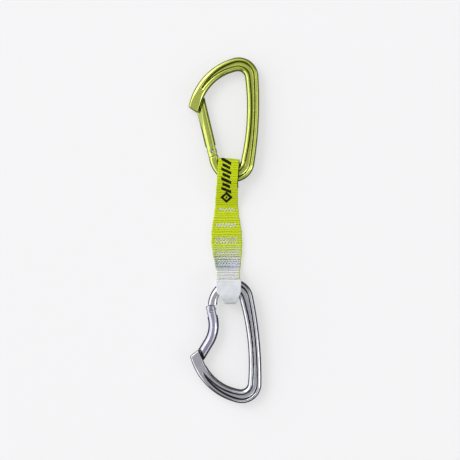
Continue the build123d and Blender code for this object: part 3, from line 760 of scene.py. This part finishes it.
def webbing_material():
    s = Shader("woven_tape")
    tape_at = s.attribute("tape", 1)
    split = s.node("ShaderNodeSeparateXYZ", {0: tape_at}).node
    x, arc, y = split.outputs[0], split.outputs[1], split.outputs[2]
    rib, top, edge = s.attribute("rib"), s.attribute("top"), s.attribute("selvedge")
    # two yarn systems: warp ends along the tape and picks across it, plain weave
    warp = s.math("ABSOLUTE", s.math("SINE", s.times(x, math.pi / WARP)))
    weft = s.math("ABSOLUTE", s.math("SINE", s.times(arc, math.pi / (PICK / 2))))
    where = s.node("ShaderNodeCombineXYZ", {0: x, 1: arc, 2: y})

    def cloud(scale, detail, rough=0.5):
        return s.noise(s.node("ShaderNodeMapping", {"Vector": where, "Scale": scale}), 1.0, detail, rough)

    def within(value, low, high):
        return s.times(s.math("GREATER_THAN", value, low), s.math("LESS_THAN", value, high))

    def stepped(value, size):
        return s.times(s.plus(s.math("FLOOR", s.math("DIVIDE", value, size)), 0.5), size)

    fibre = cloud((9, 2.2, 0), 3.0)
    patch = cloud((0.32, 0.12, 0), 2.0)
    streak = cloud((1.1, 0.10, 0), 2.0)
    speck = cloud((0.75, 0.9, 0), 2.0, 0.7)
    # colour: lime, fading through pale ribs to grey white towards the keeper
    lime = s.blend(s.step(fibre, 0.3, 0.7), LIME_DEEP, LIME_BRIGHT)
    # painted shade: darker lime in the rib valleys
    lime = s.blend(s.times(s.step(rib, 0.36, 0.0), s.step(speck, 0.34, 0.52)), lime, LIME_GROOVE_SHADE)
    fleck = s.times(s.step(speck, 0.615, 0.66), s.step(y, -22.0, -46.0))
    lime = s.blend(s.times(fleck, s.step(rib, 0.6, 0.3)), lime, LIME_FLECK)
    lime = s.blend(s.times(s.step(speck, 0.42, 0.28), 0.3), lime, LIME_DULL)
    lime = s.blend(s.times(s.step(patch, 0.5, 0.75), 0.15), lime, LIME_WORN)
    across = s.plus(streak, s.times(x, 0.03))
    pale = s.blend(s.step(across, 0.36, 0.60), PALE_SLATE, PALE_LILAC)
    pale = s.blend(s.step(y, -73.0, -77.5), pale, PALE_WHITE)
    pale = s.blend(s.times(s.step(speck, 0.50, 0.60), s.step(y, -74.0, -66.0)), pale, PALE_LIME)
    # painted shade: thin dark lines in the rib valleys of the pale part
    rib_valley_shade = s.times(s.step(rib, 0.42, 0.08), s.step(speck, 0.25, 0.5))
    pale = s.blend(rib_valley_shade, pale, PALE_GROOVE_SHADE)
    spot = s.times(s.step(speck, 0.66, 0.70), s.step(y, -58.0, -66.0))
    pale = s.blend(spot, pale, PALE_SPOT)
    lower = s.minus(s.times(y, -1.0), s.times(s.minus(streak, 0.5), 9.0))
    fade = s.step(lower, 60.0, 68.5)
    crest = s.times(s.step(rib, 0.35, 0.75), s.step(lower, 53.0, 60.0))
    fade = s.math("MAXIMUM", fade, s.times(crest, 0.75))
    keep_edge = s.times(s.step(edge, 0.35, 0.95), 0.8)
    keep_left = s.times(s.step(edge, -0.2, -0.95), 0.25)
    fade = s.times(fade, s.minus(1.0, s.math("MAXIMUM", keep_edge, keep_left)))
    colour = s.blend(fade, lime, pale)
    # pale weft lines through the lime part
    line = s.times(s.step(rib, 0.82, 1.0), s.step(lower, 22.0, 34.0))
    colour = s.blend(s.times(line, s.times(s.step(fibre, 0.45, 0.6), 0.55)), colour, WEFT_LINE)
    # the black woven mark: slanted bars and a diamond, stepped at the yarn pitch
    sx = stepped(x, WARP / 2)
    sy = stepped(y, MARK_STEP)
    cx = s.plus(sx, MARK_X)
    slant = s.plus(sy, s.times(cx, MARK_SLANT))
    place = s.math("DIVIDE", s.plus(slant, 60.0), BAR_PITCH)
    phase = s.math("FRACT", place)
    index = s.math("FRACT", s.math("DIVIDE", s.math("FLOOR", place), 2.0))
    reach = s.plus(3.1, s.times(s.math("GREATER_THAN", index, 0.25), 0.9))
    bars = s.times(s.math("LESS_THAN", phase, 0.66), s.math("LESS_THAN", s.math("ABSOLUTE", cx), reach))
    bars = s.times(bars, within(slant, -11.9, 14.0))
    ring = s.plus(s.math("ABSOLUTE", s.times(cx, 0.9)), s.math("ABSOLUTE", s.plus(sy, DIAMOND_Y)))
    diamond = s.minus(s.math("LESS_THAN", ring, 4.6), within(ring, 1.0, 2.0))
    mark = s.times(s.math("MAXIMUM", bars, diamond), s.math("GREATER_THAN", top, 0.5))
    black = s.blend(s.step(fibre, 0.3, 0.75), MARK_DEEP, MARK_LIT)
    colour = s.blend(mark, colour, black)
    # the shadowed edge beside the rod in the upper eye
    gap = s.times(s.step(edge, 0.62, 0.85), within(y, -9.0, 13.0))
    colour = s.blend(gap, colour, ROD_SHADE)
    yarn = s.times(warp, weft)
    # painted shade in the gaps between the yarns
    colour = s.blend(s.step(yarn, 0.22, 0.0), colour, YARN_GAP_SHADE, "MULTIPLY")
    height = s.plus(yarn, s.times(fibre, 0.8))
    roughness = s.plus(0.62, s.times(fibre, 0.2))
    s.surface.inputs["Sheen Weight"].default_value = 0.02
    s.surface.inputs["Specular IOR Level"].default_value = 0.12
    s.surface.inputs["Sheen Roughness"].default_value = 0.5
    return s.finish(Base_Color=colour, Roughness=roughness, Normal=s.bump(height, 0.5, 0.00012))


def thread_material():
    s = Shader("stitching_thread")
    twist = s.noise(s.place((2600, 900, 2600), 0.6), 1.0, 2.0)
    colour = s.blend(s.step(twist, 0.3, 0.6), (0.60, 0.60, 0.66), (0.84, 0.84, 0.88))
    colour = s.blend(s.times(s.attribute("dye"), s.step(twist, 0.50, 0.38)), colour, (0.26, 0.25, 0.36))
    roughness = s.plus(0.55, s.times(twist, 0.2))
    s.surface.inputs["Sheen Weight"].default_value = 0.2
    return s.finish(Base_Color=colour, Roughness=roughness, Normal=s.bump(twist, 0.6, 0.00006))


def rubber_material():
    s = Shader("keeper_rubber")
    cloud = s.noise(s.place(), 130.0, 4.0)
    fine = s.noise(s.place(), 1900.0, 3.0)
    colour = s.blend(s.step(cloud, 0.35, 0.7), (0.585, 0.605, 0.635), (0.645, 0.66, 0.685))
    roughness = s.plus(0.36, s.times(cloud, 0.14))
    s.surface.inputs["Subsurface Weight"].default_value = 0.35
    s.surface.inputs["Subsurface Radius"].default_value = (0.9, 1.0, 1.05)
    s.surface.inputs["Subsurface Scale"].default_value = 0.0012
    grain = s.bump(s.plus(fine, cloud), 0.2, 0.00008)
    return s.finish(Base_Color=colour, Roughness=roughness, Normal=grain)


def paint(obj, material):
    obj.data.materials.clear()
    obj.data.materials.append(material)


metals = {
    "upper_body": lime_metal, "upper_gate": lime_metal, "lower_body": grey_metal, "lower_gate": gate_metal,
}
for node_name, obj in worked.items():
    paint(obj, metals[node_name])
for side in ("upper", "lower"):
    paint(rivets[side], rivet_metal)
    paint(NODES[side + "_plunger"], rivet_metal)
for obj in coils:
    paint(obj, spring_metal)
woven = webbing_material()
paint(sling_upper, woven)
paint(sling_lower, woven)
thread_look = thread_material()
for obj in tacks:
    paint(obj, thread_look)
paint(keeper, rubber_material())

# ---------------------------------------------------------------- what each piece rides on
for obj in (sling_upper, sling_lower):
    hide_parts("webbing")
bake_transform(sling_upper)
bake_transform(sling_lower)
for number, obj in enumerate(tacks, 1):
    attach(obj, "sling")
    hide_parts("bar_tack_" + str(number))
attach(keeper, "lower_carabiner")
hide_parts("keeper")
for node_name, obj in worked.items():
    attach(obj, node_name.replace("body", "carabiner"))
    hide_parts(node_name)
for side in ("upper", "lower"):
    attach(rivets[side], side + "_carabiner")
    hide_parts(side + "_rivet")

# ---------------------------------------------------------------- floor, light
FLOOR_HALF = 3
floor_corners = [(x * FLOOR_HALF, y * FLOOR_HALF, 0) for x, y in ((-1, -1), (1, -1), (1, 1), (-1, 1))]
floor = add_mesh("floor", floor_corners, [(0, 1, 2, 3)])
paper = Shader("floor_paper")
paper.finish(
    Base_Color=(0.31, 0.305, 0.316, 1), Roughness=0.9, Emission_Color=(1, 1, 1, 1), Emission_Strength=0.535,
)
paint(floor, paper.material)
floor.visible_glossy = False


def area_light(name, spot, size, power):
    """A soft box that faces the object."""
    light = bpy.data.lights.new(name, "AREA")
    light.shape = "RECTANGLE"
    light.size, light.size_y = size
    light.energy = power
    obj = link(name, light)
    obj.location = spot
    obj.rotation_euler = (-Vector(spot)).to_track_quat("-Z", "Y").to_euler()


area_light("key", (-2.5, 2.3, 3.4), size=(2.0, 2.0), power=60)
area_light("strip_right", (3.6, -1.0, 2.9), size=(0.9, 3.2), power=24)
area_light("strip_low", (0.6, -3.9, 2.2), size=(3.2, 0.7), power=16)

world = bpy.data.worlds.new("studio")
bpy.context.scene.world = world
world.use_nodes = True
sky = Nodes(world.node_tree)
direction = sky.node("ShaderNodeTexCoord", out=0)
height_up = sky.node("ShaderNodeSeparateXYZ", {0: direction}, out=2)
glow = sky.ramp(height_up, (0.0, 0.08), (0.22, 0.05), (0.45, 0.14), (0.76, 0.42), (0.95, 0.56))


def sky_strip(along, near, full, fall, far, strength, low=0.12):
    """A long soft box: bright where the direction's share along an axis lies between near and far."""
    share = sky.node("ShaderNodeVectorMath", {0: direction, 1: along}, out=1, operation="DOT_PRODUCT")
    lit = sky.times(sky.step(share, near, full), sky.step(share, far, fall))
    lit = sky.times(lit, sky.step(height_up, low, low + 0.18))
    return sky.times(lit, strength)


def sky_panel(towards, start, end, strength):
    """A soft bright patch of studio wall in one direction."""
    aim = Vector(towards).normalized()
    near = sky.node("ShaderNodeVectorMath", {0: direction, 1: aim}, out=1, operation="DOT_PRODUCT")
    return sky.times(sky.step(near, start, end), strength)


for strip in (
    sky_strip((-0.98, 0.2, 0.0), near=0.40, full=0.56, fall=1.1, far=1.2, strength=1.6, low=-0.14),
    sky_strip((0.98, -0.2, 0.0), near=0.66, full=0.76, fall=0.90, far=0.97, strength=1.3),
    sky_panel((-0.3, 0.68, 0.67), start=0.74, end=0.93, strength=0.7),
):
    glow = sky.plus(glow, strip)
back = sky.tree.nodes["Background"]
sky.tree.links.new(glow, back.inputs["Color"])
back.inputs["Strength"].default_value = 1.0
